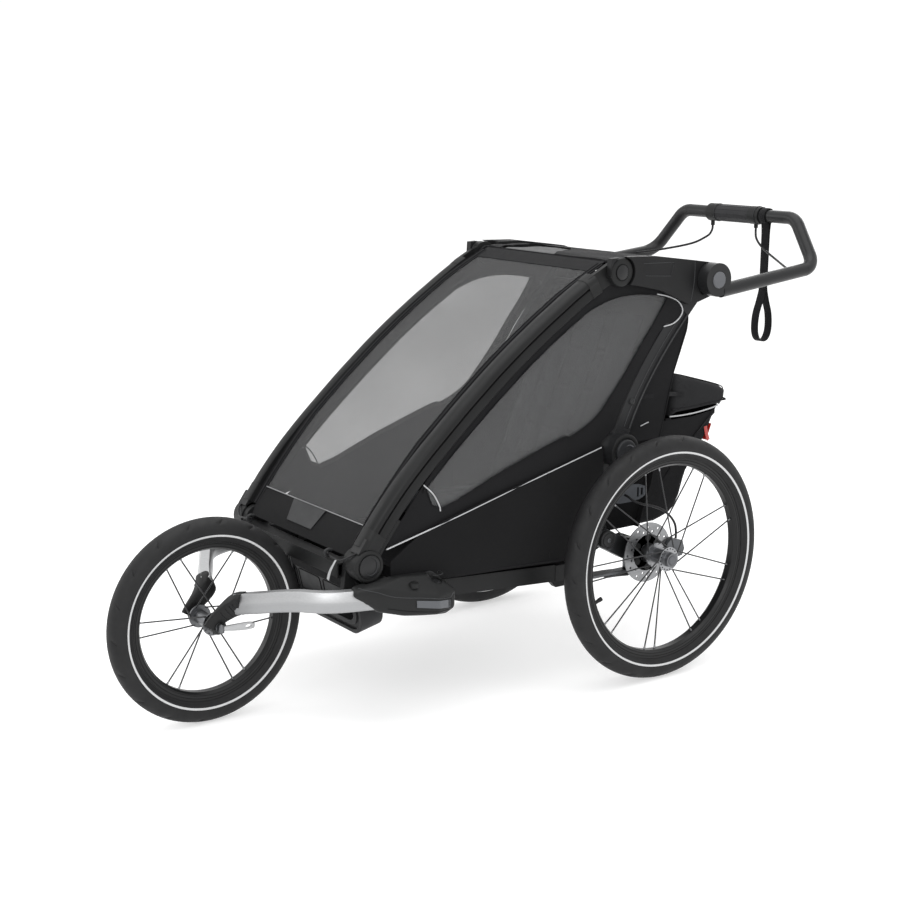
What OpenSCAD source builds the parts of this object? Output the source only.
/* [Wheels] */
// Outside radius of the rear wheels
rear_wheel_r = 250; // [245:1:252]
// Outside radius of the front wheel
front_wheel_r = 197; // [192:1:199]
// Radius of the tyre section
tyre_r = 23.5; // [22:0.5:24]
// Distance of each rear wheel's mid plane from the centre plane
track_half = 302.6; // [301:0.2:303]
// Pairs of spokes in each rear wheel
rear_pairs = 9; // [8:1:10]
// Pairs of spokes in the front wheel
front_pairs = 6; // [5:1:8]

/* [Frame] */
// Distance from the rear axle forward to the front axle
wheelbase = 867.6; // [865:0.2:869]
// Width of the front pillar section seen from the side
pillar_w = 40; // [36:1:42]
// Width of the rear post seen from the side
post_w = 38; // [34:1:39]
// Wall of the extruded side members
wall = 3; // [2.5:0.5:4]
// Running clearance on the hinge pins, on the radius
fit = 0.05; // [0.03:0.01:0.08]

/* [Handlebar] */
// Radius of the handlebar tube
bar_r = 14; // [13.5:0.1:14]
// Height of the crossbar above the floor
bar_z = 904; // [896:1:906]

/* [Cabin] */
// Half width of the seat cushion and back
seat_half = 165; // [150:1:168]
// Half width of the cargo bag
bag_half = 178; // [160:1:180]

/* [Hidden] */

$fn = 48;
axle_y = 282.8;             // rear axle, measured from the middle of the length
rear_z = rear_wheel_r;

// Side view points, [y, z] from the rear axle line on the floor
B = [-656, 322];           // lower front pivot
T = [-72, 822];            // upper front pivot
P = [146, 778];            // upper rear pivot
R = [-60, 466];            // lower rear pivot, the fold lock
H = [160, 797];            // handlebar hub
S = [-90, 285];            // suspension pivot
Bc = [-432, 652];          // control point of the bowed pillar
Rc = [-28, 596];           // control point of the curved post
C = [477, bar_z];          // handlebar crossbar
F = [-wheelbase, front_wheel_r];

function bez(a, b, c, t) = a*(1-t)*(1-t) + b*2*t*(1-t) + c*t*t;
function tan2(a, b, c, t) = (b-a)*(1-t) + (c-b)*t;
function nrm(v) = v/norm(v);
function left_of(v) = nrm([-v[1], v[0]]);
// points of a curve a-b-c moved sideways by o
function off(a, b, c, o, t0, t1, n) =
  [for (i=[0:n]) let(t=t0+(t1-t0)*i/n) bez(a,b,c,t) + left_of(tan2(a,b,c,t))*o];
function rev(l) = [for (i=[len(l)-1:-1:0]) l[i]];
function strip(a, b, c, o0, o1, t0, t1, n) =
  concat(off(a,b,c,o0,t0,t1,n), rev(off(a,b,c,o1,t0,t1,n)));

module at() translate([0, axle_y, 0]) children();
module both() { children(); mirror([1,0,0]) children(); }
// a side-view outline made solid from x0 to x1
module yz(x0, x1) translate([x0,0,0]) rotate([90,0,90])
  linear_extrude(x1-x0) children();
module xcyl(r, x0, x1, p) translate([x0,p[0],p[1]]) rotate([0,90,0])
  cylinder(r=r, h=x1-x0);
module dot(p, r) translate(p) circle(r);

// A swept bar: rings of the section s set square to the path p
function ring_dir(p, i) = nrm((i<len(p)-1 ? p[i+1] : p[i]) - (i>0 ? p[i-1] : p[i]));
function ring(p, i, s) = let(d=ring_dir(p,i), u=nrm(cross(d,[0,0,1])), w=cross(u,d))
  [for (q=s) p[i] + u*q[0] + w*q[1]];
module sweep(p, s) {
  n = len(s); m = len(p);
  polyhedron(
    points=[for (i=[0:m-1]) each ring(p, i, s)],
    faces=concat(
      [[for (k=[n-1:-1:0]) k]],
      [for (i=[0:m-2], k=[0:n-1]) [i*n+k, (i+1)*n+(k+1)%n, (i+1)*n+k]],
      [for (i=[0:m-2], k=[0:n-1]) [i*n+k, i*n+(k+1)%n, (i+1)*n+(k+1)%n]],
      [[for (k=[0:n-1]) (m-1)*n+k]]));
}
function ngon(n, r) = [for (k=[0:n-1]) [r*cos(360*k/n), r*sin(360*k/n)]];

// Round tube along straight runs with true bends between them
module run(a, b, r) translate(a)
  rotate([0, acos((b-a)[2]/norm(b-a)), atan2((b-a)[1], (b-a)[0])])
  cylinder(r=r, h=norm(b-a));
function bend_d(p, i, br) = let(u=nrm(p[i-1]-p[i]), w=nrm(p[i+1]-p[i]))
  br/tan(acos(u*w)/2);
module bend(p, i, br, r) {
  u = nrm(p[i-1]-p[i]); w = nrm(p[i+1]-p[i]); a = acos(u*w);
  c = p[i] + nrm(u+w)*br/sin(a/2);
  x = nrm(p[i]+u*br/tan(a/2)-c);
  z = nrm(cross(x, p[i]+w*br/tan(a/2)-c));
  y = cross(z, x);
  multmatrix([[x[0],y[0],z[0],c[0]],[x[1],y[1],z[1],c[1]],[x[2],y[2],z[2],c[2]],[0,0,0,1]])
    rotate_extrude(angle=180-a) translate([br,0]) circle(r);
}
module bent_tube(p, br, r, $fn=36) {
  n = len(p)-1;
  // the straight runs reach 2 mm into the bends, which are a little fuller
  for (i=[0:n-1]) run(
    i==0 ? p[0] : p[i]+nrm(p[i+1]-p[i])*(bend_d(p,i,br)-2),
    i==n-1 ? p[n] : p[i+1]+nrm(p[i]-p[i+1])*(bend_d(p,i+1,br)-2), r);
  for (i=[1:n-1]) bend(p, i, br, r+0.15);
}

// ---------------------------------------------------------------- chassis
function rail_z(y) = 248 - 0.063*(y+456);
module rail_shape(h, y0, y1) polygon([[y0,rail_z(y0)-h],[y1,rail_z(y1)-h],
  [y1,rail_z(y1)+h],[y0,rail_z(y0)+h]]);
module side_rails() color("#26272a") at() both() difference() {
  yz(190,222) rail_shape(17, -600, -213);
  yz(190+wall,222-wall) rail_shape(17-wall, -610, -200);
}
module cross_tubes() color("#26272a") at() {
  // front crossbar, a hollow extrusion, and the rear tube of the chassis
  difference() {
    translate([-186,-694,296]) cube([372,28,27]);
    translate([-187,-694+wall,296+wall]) cube([374,28-2*wall,27-2*wall]);
  }
  difference() {
    xcyl(12, -190, 190, [-140,232]);
    xcyl(10, -193, 193, [-140,232]);
  }
}
module corner_brackets() color("#2c2d30") at() both() {
  difference() {
    union() {
      yz(186,199.4) union() {
        dot(B,27);
        polygon([[-683,326],[-629,326],[-602,286],[-600,240],[-668,240],[-690,262]]);
      }
      yz(186,222) polygon([[-664,286],[-600,286],[-600,240],[-664,240]]);
      xcyl(8, 188, 233.5, B);
    }
    // threaded socket for the bolt that holds the crossbar
    xcyl(3, 184, 196, [-680,309]);
  }
}
module bumper_u(w, h, r) { // upright U outline, flat on top
  translate([-w,r]) square([2*w,h-r]);
  translate([-w+r,0]) square([2*(w-r),r+1]);
  for (s=[-1,1]) translate([s*(w-r),r]) circle(r);
}
module front_bumper() color("#303134") at() {
  // hangers bolted to the back of the crossbar
  both() yz(136,158) polygon([[-666,298],[-666,320],[-624,316],[-613,302],[-640,293]]);
  translate([0,-622.8,160]) rotate([13,0,0]) rotate([90,0,0]) translate([0,0,-48])
  difference() {
    linear_extrude(48) difference() {
      bumper_u(168, 137, 46);
      translate([0,26]) bumper_u(142, 137, 26);
    }
    // the channel in the band's front face
    translate([0,0,44]) linear_extrude(5) difference() {
      translate([0,8]) bumper_u(160, 160, 38);
      translate([0,17]) bumper_u(151, 160, 32);
    }
  }
}
arm_path = [[66,-835,241],[88,-825,246],[110,-814.5,251],[149,-793,260],[186,-773,267],
  [204,-760,268],[219,-743,268],[231,-722,268],[239,-700,268],[246,-675,268],
  [250,-650,267],[252,-620,267],[254,-590,267],[255,-570,267]];
arm_sec = [[-10,-19],[10,-19],[14,-13],[14,1],[9,19],[-9,19],[-14,1],[-14,-13]];
module arm_button_hole() translate([250,-524,250]) cylinder(r=13.5, h=60);
module wing() color("#232427") at() difference() {
  hull() {
    for (q=[[228,-656,251],[228,-656,286],[261,-652,251],[259,-652,284],
            [228,-600,288],[265,-604,268],[270,-604,238],[228,-500,236],
            [228,-520,284],[281,-540,232],[279,-540,256],[268,-500,232],
            [266,-498,258],[228,-488,250],[240,-690,285],[256,-694,283],
            [247,-645,289],[249,-598,291],[247,-530,284],[262,-644,256],
            [267,-566,231],[266,-512,225],[228,-512,226]])
      translate(q) sphere(r=8, $fn=20);
  }
  // clear of the side fabric above the rail
  translate([200,-700,269.5]) cube([31.6,260,60]);
  translate([200,-700,200]) cube([22,260,120]);
  xcyl(31.5, 220, 243, B);
  // socket of the arm
  sweep([for (i=[7:13]) arm_path[i]+[0,0,0.2]], [for (q=arm_sec) q*1.03]);
  // well of the release button
  arm_button_hole();
}
module wing_left() wing();
module wing_right() mirror([1,0,0]) wing();
module arm_button() color("#3b3c40") at() translate([250,-524,0])
  rotate_extrude() polygon([[0,256],[13.4,256],[13.4,275],[11,277.5],[0,277.5]]);
module arm_button_left() arm_button();
module arm_button_right() mirror([1,0,0]) arm_button();

module jog_arm() {
  color("#c9cccf") at() difference() {
    sweep(arm_path, arm_sec);
    sweep([for (i=[0:13]) i==0 ? arm_path[0]-[6,2.7,1.35] : i==13 ? arm_path[13]+[0,8,0] : arm_path[i]],
      [for (q=arm_sec) q*0.8]);
  }
  color("#1c1d1f") at() difference() {
    union() {
      hull() {
        xcyl(15, 42.2, 52, F, $fn=32);
        translate([54,-849,226]) rotate([0,90,0]) cylinder(r=13, h=14, center=true, $fn=32);
      }
      hull() {
        translate([54,-849,226]) rotate([0,90,0]) cylinder(r=13, h=14, center=true, $fn=32);
        sweep([arm_path[0]-[9,4.1,2.1], arm_path[0]-[0.4,0.18,0.1]], arm_sec);
      }
      // tongue inside the arm
      sweep([arm_path[0]-[4,1.8,0.9], arm_path[0]+[12,5.4,2.7]], [for (q=arm_sec) q*0.76]);
    }
    xcyl(3, 40, 64, F);
    xcyl(10.5, 52.2, 70, F);
    translate([56.2,-884,180]) cube([20,100,28.2]);
  }
}
module jog_arm_left() jog_arm();
module jog_arm_right() mirror([1,0,0]) jog_arm();

module front_axle() color("#3a3b3e") at() {
  xcyl(6, -41.8, 41.8, F);          // hollow axle, closed for strength
  xcyl(2.4, 41.8, 61, F);           // skewer to the cam
  xcyl(2.4, -60, -41.8, F);
  xcyl(9, -60, -52.4, F);           // nut
  xcyl(9, 52.4, 56, F);             // cam washer
  translate([61,F[0],F[1]-9]) cylinder(r=3, h=18);
}
module qr_lever() color("#d2d4d6") at() difference() {
  union() {
    for (z=[-6.9,2.9]) translate([61,F[0],F[1]+z]) cylinder(r=4.6, h=4);
    translate([59,F[0],F[1]+2.9]) cube([5,12,4]);
    translate([59,F[0],F[1]-6.9]) cube([5,12,4]);
    translate([59,F[0]+9,F[1]-7.5]) rotate([-4,0,0]) difference() {
      cube([5,57,14.5]);
      translate([-1,46,7]) rotate([0,90,0]) cylinder(r=4, h=8);
    }
  }
  translate([61,F[0],F[1]-12]) cylinder(r=3+fit, h=24);
  xcyl(2.8, 40, 66, F);
}

// ------------------------------------------------------- rear running gear
module rear_bracket() color("#2a2b2e") at() {
  difference() {
    union() {
      yz(190,204) union() {
        polygon([[-213,214],[-213,250],[-150,262],[-122,300],[-104,440],
                 [-92,478],[-28,478],[-64,430],[-70,330],[-66,285],[-80,262],
                 [-108,252],[-118,214],[-150,196],[-196,196]]);
        dot(R,28);
        dot(S,24);
      }
      xcyl(10, 200, 246, R);
      xcyl(8, 200, 236, S);
      xcyl(19, 230.8, 238, S);
      // sleeve around the rail's end
      translate([190,-213,214]) cube([33,60,34]);
    }
    xcyl(5.5, 188, 206, [-87,392]);   // accessory hole
  }
}
module rear_bracket_left() rear_bracket();
module rear_bracket_right() mirror([1,0,0]) rear_bracket();

module suspension() {
  Ax = [0, rear_z];
  color("#2f3033") at() difference() {
    union() {
      yz(206,230.4) union() {
        dot(S,20);
        dot(Ax,21);
        polygon([[-86,304],[-98,268],[-40,236],[-6,230],[6,270],[-40,282]]);
      }
      xcyl(21, 166, 231.6, Ax);
      // leaf spring with its clamp block
      translate([208,-118,206]) cube([20,116,5]);
      translate([206,-22,206]) cube([24.4,26,26]);
      // arm of the brake
      yz(238,246) union() { dot(Ax,18); polygon([[-4,234],[52,224],[92,236],[92,262],[40,272],[0,268]]); }
      xcyl(16, 231, 246, Ax);
    }
    xcyl(8+fit, 200, 260, S);
    xcyl(10.02, 160, 260, Ax);
  }
  // stub axle
  color("#8a8c90") at() xcyl(10, 166, 318, Ax);
  // brake caliper over the rotor
  color("#191a1c") at() difference() {
    yz(246,266) polygon([[44,228],[88,232],[94,246],[88,264],[58,272],[46,262]]);
    yz(253.4,258.6) polygon([[30,200],[84,200],[84,259],[54,300],[30,300]]);
  }
}
module suspension_left() suspension();
module suspension_right() mirror([1,0,0]) suspension();
hose_path = [[216,-30,366],[226,-28,363],[236,-24,357],[243,-8,350],[248,14,344],[252,38,334],
  [254,60,318],[255,74,300],[255.5,78,284],[256,78,268]];
module brake_hose() color("#141416") at() sweep(hose_path, ngon(8,2.5));
module brake_hose_left() brake_hose();
module brake_hose_right() mirror([1,0,0]) brake_hose();

module park_pedal() color("#2d2e31") at() difference() {
  union() {
    xcyl(19, -40, 40, [-140,232]);
    translate([-40,-138,222]) cube([80,74,8]);
    translate([-46,-74,219]) cube([92,26,14]);
  }
  xcyl(12+fit, -50, 50, [-140,232]);
}

// ------------------------------------------------------------------ wheels
module wheel_axis(x, p) at() translate([x,p[0],p[1]]) rotate([0,90,0]) children();
module tyre(R0) color("#1b1b1c") rotate_extrude($fn=96) difference() {
  dot([R0-tyre_r,0], tyre_r);
  dot([R0-tyre_r,0], tyre_r-2.8);
  translate([R0-tyre_r-30,-9]) square([20,18]);
}
module rim(R0) color("#2b2c2e") rotate_extrude($fn=96) {
  b = R0-45.5;                      // bead seat
  difference() {
    polygon([[b-14,-7],[b-10,-12.4],[b,-13.4],[b,13.4],[b-10,12.4],[b-14,7]]);
    polygon([[b-11.5,-5.5],[b-8.5,-10],[b-2.2,-10.8],[b-2.2,10.8],[b-8.5,10],[b-11.5,5.5]]);
  }
}
// laced in pairs between two flanges at heights z0 and z1
module spokes(R0, fr, z0, z1, n, ph, h) color("#3d3e42")
  for (i=[0:n-1]) let(a=360*i/n+ph) {
    run([fr*cos(a-62),fr*sin(a-62),z1], [(R0-58.5)*cos(a-h),(R0-58.5)*sin(a-h),2], 1);
    run([fr*cos(a+62),fr*sin(a+62),z0], [(R0-58.5)*cos(a+h),(R0-58.5)*sin(a+h),-2], 1);
  }
module front_tyre() wheel_axis(0,F) tyre(front_wheel_r);
module front_rim() wheel_axis(0,F) rim(front_wheel_r);
module front_spokes() wheel_axis(0,F) spokes(front_wheel_r, 18, -28, 28, front_pairs, 28, 6.2);
module front_hub() color("#4a4b4e") wheel_axis(0,F) difference() {
  union() {
    cylinder(r=13, h=66, center=true);
    cylinder(r=9.5, h=82.8, center=true);
    for (z=[-28,28]) translate([0,0,z-1.6]) cylinder(r=22, h=3.2);
  }
  cylinder(r=6+fit, h=100, center=true);
}
module rear_tyre() wheel_axis(track_half,[0,rear_z]) tyre(rear_wheel_r);
module rear_rim() wheel_axis(track_half,[0,rear_z]) rim(rear_wheel_r);
module rear_spokes() wheel_axis(track_half,[0,rear_z])
  spokes(rear_wheel_r, 21, 281-track_half, 318-track_half, rear_pairs, 31.3, 4.8);
module rear_hub() {
  color("#85878b") wheel_axis(0,[0,rear_z]) difference() {
    union() {
      translate([0,0,252]) cylinder(r=16.95, h=6);
      translate([0,0,257.1]) cylinder(r=20, h=20);
      translate([0,0,277]) cylinder(r=15, h=45);
      translate([0,0,279.4]) cylinder(r=25, h=3.2);
      translate([0,0,316.4]) cylinder(r=25, h=3.2);
      translate([0,0,319]) cylinder(r=14.5, h=12);
    }
    translate([0,0,240]) cylinder(r=10+fit, h=80);
    translate([0,0,319]) cylinder(r=10.28, h=20);
  }
  // drilled brake rotor on its spigot
  color("#a9abae") wheel_axis(255,[0,rear_z]) difference() {
    cylinder(r=62, h=2);
    translate([0,0,-1]) cylinder(r=17, h=4);
    for (i=[0:11]) rotate(30*i) translate([52+2*(i%2),0,-1]) cylinder(r=2.6, h=4);
    for (i=[0:11]) rotate(30*i+15) translate([44,0,-1]) cylinder(r=2.6, h=4);
    for (i=[0:5]) rotate(60*i) translate([31,0,-1]) cylinder(r=7.5, h=4);
  }
}
module wheel_button() color("#9b9da1") wheel_axis(0,[0,rear_z]) {
  translate([0,0,324]) cylinder(r=10.2, h=8);
  translate([0,0,332]) cylinder(r1=10.2, r2=8, h=2);
}
module left_tyre() rear_tyre();
module left_rim() rear_rim();
module left_spokes() rear_spokes();
module left_hub() rear_hub();
module left_wheel_button() wheel_button();
module right_tyre() mirror([1,0,0]) rear_tyre();
module right_rim() mirror([1,0,0]) rear_rim();
module right_spokes() mirror([1,0,0]) rear_spokes();
module right_hub() mirror([1,0,0]) rear_hub();
module right_wheel_button() mirror([1,0,0]) wheel_button();

// ----------------------------------------------------------- folding frame
module pillar() {
  color("#2a2b2e") at() difference() {
    union() {
      yz(200,232) polygon(strip(B,Bc,T,-pillar_w/2,pillar_w/2,0.02,0.985,20));
      xcyl(30, 200, 236, B);
      xcyl(28, 214.6, 236, T);
    }
    // hollow, open on the inner side
    yz(199,228) polygon(strip(B,Bc,T,-pillar_w/2+4,pillar_w/2-4,0.09,0.9,18));
    // seam along the outer face
    yz(230.6,240) polygon(strip(B,Bc,T,-1.5,1.5,0.09,0.93,18));
    // room for the ear and the plate of the top link
    xcyl(46, 190, 214.6, T);
    difference() { xcyl(43, 225.7, 240, T); xcyl(28, 225, 241, T); }
    yz(232,237) polygon(strip(B,Bc,T,-30,30,0.09,0.9,8));
    xcyl(8+fit, 190, 236.2, B);
    xcyl(8+fit, 190, 236.2, T);
  }
  // round covers of the two pivots
  color("#3a3b3e") at() { xcyl(22, 236.2, 240, B); xcyl(14.5, 236.2, 241, T); }
}
module pillar_left() pillar();
module pillar_right() mirror([1,0,0]) pillar();

module front_cover() color("#202124") at() {
  yz(-199,199) polygon(strip(B,Bc,T,13,16,0.075,1,20));
  // lower part, between the front brackets
  yz(-185,185) polygon(strip(B,Bc,T,13,16,0,0.08,4));
}

plate = [[-102,850],[-67,852],[14,850],[124,836],[160,831],[186,822],[194,797],
  [186,772],[160,760],[132,752],[106,748],[74,763],[33,780],[-23,792],[-65,799],[-104,814]];
module top_link() color("#2b2c2f") at() difference() {
  union() {
    yz(226,240) difference() { polygon(plate); dot(T,31); }
    // bridge to the inner ear at the front pivot
    yz(206,240) difference() {
      polygon([[-46,809],[12,809],[12,849],[-40,850]]);
      dot(T,33);
    }
    yz(206,213.8) union() { dot(T,20); polygon([[-74,803],[-20,810],[-20,842],[-74,842]]); }
    xcyl(8, 207, 234, T);
    xcyl(8, 228, 257, H);
  }
  xcyl(12, 220, 241, P);
  // shallow panel in the outer face
  yz(239,242) polygon([[-20,838],[62,836],[54,808],[-14,812]]);
}
module top_link_left() top_link();
module top_link_right() mirror([1,0,0]) top_link();

module rear_post() {
  color("#303134") at() difference() {
    union() {
      yz(205,224) polygon(strip(R,Rc,P,-post_w/2,post_w/2,0.03,1,16));
      yz(205,224) dot(P,post_w/2);
      xcyl(35, 205, 248, R);
      xcyl(6.5, 215, 238, P);
    }
    // web pocket on the outer face
    yz(221,226) polygon(strip(R,Rc,P,-post_w/2+5,0,0.16,0.88,14));
    // hollow, open on the inner side
    yz(200,219) polygon(strip(R,Rc,P,-post_w/2+4,post_w/2-4,0.16,0.84,14));
    xcyl(10+fit, 200, 248.2, R);
  }
  // cover of the fold lock
  color("#3a3b3e") at() xcyl(24, 248.2, 252, R);
}
module rear_post_left() rear_post();
module rear_post_right() mirror([1,0,0]) rear_post();
module rear_cross_tube() color("#2a2b2e") at() difference() {
  xcyl(11, -205, 205, bez(R,Rc,P,0.93));
  xcyl(9, -206, 206, bez(R,Rc,P,0.93));
}

// --------------------------------------------------------------- handlebar
bar_path = [[255.5,176,773],[250,458,806],[172,C[0],C[1]],[-172,C[0],C[1]],
  [-250,458,806],[-255.5,176,773]];
module handlebar() color("#1e1f21") at() {
  difference() {
    union() {
      bent_tube(bar_path, 42, bar_r);
      both() xcyl(34, 241, 268, H);
    }
    bent_tube([for (i=[0:5]) i==0 ? bar_path[0]+[0.5,35,4.1] : i==5 ? bar_path[5]+[-0.5,35,4.1] : bar_path[i]], 42, bar_r-2);
    // drain hole at the lowest point of each arm
    both() translate([254.5,222,760]) cylinder(r=2, h=15);
    both() xcyl(8+fit, 239, 258.5, H);
    both() xcyl(17.08, 258, 270, H);
  }
}
module hub_button() color("#8d8f93") at() {
  xcyl(17, 263, 269, H);
  translate([269,H[0],H[1]]) rotate([0,90,0]) cylinder(r1=17, r2=15, h=2);
}
module hub_button_left() hub_button();
module hub_button_right() mirror([1,0,0]) hub_button();
module brake_housing() color("#26272a") at() {
  difference() {
    union() {
      xcyl(20, -84, -60.5, C);
      xcyl(20, 44.5, 63, C);
      xcyl(19, 66, 76, C);
      // cable outlets below the bar
      translate([-78,C[0],C[1]-30]) cylinder(r=4.5, h=14);
      translate([57,C[0],C[1]-28]) cylinder(r=4.5, h=12);
    }
    xcyl(bar_r, -90, 90, C);
  }
}
module brake_grip() color("#1d1e20") at() difference() {
  union() {
    xcyl(18.5, -60, 44, C);
    for (a=[0:30:330]) translate([0,C[0]+18.2*cos(a),C[1]+18.2*sin(a)])
      translate([-56,0,0]) rotate([0,90,0]) cylinder(r=1.2, h=96, $fn=16);
  }
  xcyl(bar_r+fit, -70, 60, C);
}
cable_near = [[57,C[0],876],[58,C[0]-1,866],[64,C[0]-5,855],[80,C[0]-12,844],[104,C[0]-22,834],
  [132,C[0]-34,826],[160,C[0]-46,819],[186,C[0]-58,813],[210,C[0]-70,808],[228,C[0]-80,805],[240,C[0]-88,803]];
cable_far = [for (q=cable_near) [-q[0]*1.0-(q[0]<120 ? 21*(1-(q[0]-57)/63) : 0), q[1], q[2]-(q[0]<70 ? 2 : 0)]];
module brake_cables() color("#101012") at() {
  sweep(cable_near, ngon(8,2.5));
  sweep(cable_far, ngon(8,2.5));
}
module wrist_strap() color("#151517") at() yz(78,97) difference() {
  union() {
    dot(C,bar_r+2.6);
    polygon([[C[0]-2.4,C[1]-10],[C[0]+2.4,C[1]-10],[C[0]+2.4,745],[C[0]+20,690],[C[0]+22,655],
      [C[0]+14,632],[C[0],625],[C[0]-14,632],[C[0]-22,655],[C[0]-20,690],[C[0]-2.4,745]]);
  }
  polygon([[C[0],738],[C[0]+17.5,689],[C[0]+19.5,656],[C[0]+12.5,634.5],[C[0],628],
    [C[0]-12.5,634.5],[C[0]-19.5,656],[C[0]-17.5,689]]);
  dot(C,bar_r+fit);
}

// -------------------------------------------------------------- soft goods
module footwell() color("#1b1c1e") at() difference() {
  union() {
    yz(-189.8,189.8) polygon([[-568,292],[-568,250],[-558,243],[-250,223],[-170,228],[-159,292]]);
    yz(-118,118) polygon([[-640,290],[-625,240],[-560,240],[-560,290]]);
  }
  yz(-185.8,185.8) polygon([[-564,300],[-564,253],[-556.5,247.2],[-250.5,227.2],[-173.4,231.8],[-161.8,300]]);
  yz(-114,114) polygon([[-639,300],[-622,244],[-555,244],[-555,300]]);
}
module side_skirts() color("#1b1c1e") at() both() yz(224,230)
  polygon([[-604,322],[-570,345],[-540,364],[-482,384],[-319,426],[-102,480],[-101,400],
    [-120,330],[-120,262],[-213,255],[-600,277],[-606,300]]);
module side_window() color("#57595c") at() yz(215.5,218.5)
  polygon(concat(off(B,Bc,T,-pillar_w/2-3,0.1,0.9,14),
    [[-72,787],[-20,786],[34,774],[66,758],[82,749]],
    rev(off(R,Rc,P,post_w/2+4,0.12,0.8,8)),
    [[-104,486],[-319,432],[-482,390],[-600,361]]));
module side_window_left() side_window();
module side_window_right() mirror([1,0,0]) side_window();
module rear_panel() color("#1b1c1e") at() yz(-200,200)
  polygon([[186,838],[189,838],[176,772],[158,706],[123,601],[84,461],[58,380],[28,292],
    [25,292],[55,380],[81,461],[120,601],[155,706],[173,772]]);
module roof_panel() color("#202124") at() yz(-204,204)
  polygon([[-74,840.5],[-60,845],[10,846],[124,838],[184,834],[184,837],[124,841],[10,849],[-60,848],[-75,843.5]]);
module seat_cushion() color("#222326") at() {
  yz(-seat_half,seat_half)
    polygon([[-345,296],[-345,330],[-335,342],[-110,334],[-104,326],[-104,296]]);
  // sling that rests on the edges of the tub
  translate([-189,-352,292]) cube([378,250,4]);
}
module seat_back() color("#26272a") at() yz(-seat_half,seat_half)
  polygon([[-98,330],[-76,326],[-40,430],[75,726],[55,733],[-64,440]]);
module harness() color("#141416") at() {
  // shoulder straps, lying on the back and then running to the buckle
  both() yz(32,56) polygon([[44.7,708.9],[-64.5,440.2],[-112,392],[-114,394],
    [-66.9,441.3],[42.3,709.8]]);
  // buckle, hip straps and the strap between the legs
  yz(-26,26) polygon([[-129,376],[-113,370],[-106,396],[-122,402]]);
  both() translate([0,0,372]) linear_extrude(22)
    polygon([[26,-119],[26,-116.5],[156,-88],[156,-90.5]]);
  yz(-12,12) polygon([[-172,336.4],[-168,336.3],[-121,373],[-124,376]]);
}
module cargo_bag() color("#1c1d1f") at() difference() {
  yz(-bag_half,bag_half) polygon([[98,505],[264,517],[239,468],[222,438],[179,380],[162,331],
    [134,293],[92,281],[29,281],[46,340],[59.5,381],[80,445]]);
  yz(-bag_half+3,bag_half-3) polygon([[104,520],[262,520],[235,468],[218,439],[175,381],[158,333],
    [132,297],[91,285],[34,285],[50,340],[63.5,381],[84,444]]);
}
module cargo_lid() color("#1c1d1f") at() difference() {
  yz(-bag_half,bag_half) polygon([[126,508],[126,590],[136,594],[268,558],[284,547],[282,534],[266,519]]);
  yz(-bag_half+3,bag_half-3) polygon([[129,500],[129,586],[137,590],[266,555],[280,545],[278,534],[262,500]]);
}
module reflectors() {
  color("#9aa0a8") at() both() translate([289.3,-545,240]) rotate([0,0,-4]) cube([1.5,36,16]);
  color("#c02a1c") at() translate([160,227.4,446]) rotate([-29.5,0,0]) cube([10,2,30]);
}

side_rails();
cross_tubes();
front_bumper();
corner_brackets();
wing_left();
wing_right();
jog_arm_left();
jog_arm_right();
front_axle();
rear_bracket_left();
rear_bracket_right();
footwell();
side_skirts();
seat_cushion();
cargo_bag();
reflectors();
side_window_left();
side_window_right();
rear_panel();
seat_back();
harness();
pillar_left();
pillar_right();
front_cover();
top_link_left();
top_link_right();
roof_panel();
rear_post_left();
rear_post_right();
rear_cross_tube();
handlebar();
brake_housing();
brake_cables();
wrist_strap();
brake_grip();
hub_button_left();
hub_button_right();
front_tyre();
front_rim();
front_spokes();
front_hub();
left_tyre();
left_rim();
left_spokes();
left_hub();
right_tyre();
right_rim();
right_spokes();
right_hub();
left_wheel_button();
right_wheel_button();
suspension_left();
suspension_right();
qr_lever();
cargo_lid();
park_pedal();
arm_button_left();
arm_button_right();
brake_hose_left();
brake_hose_right();
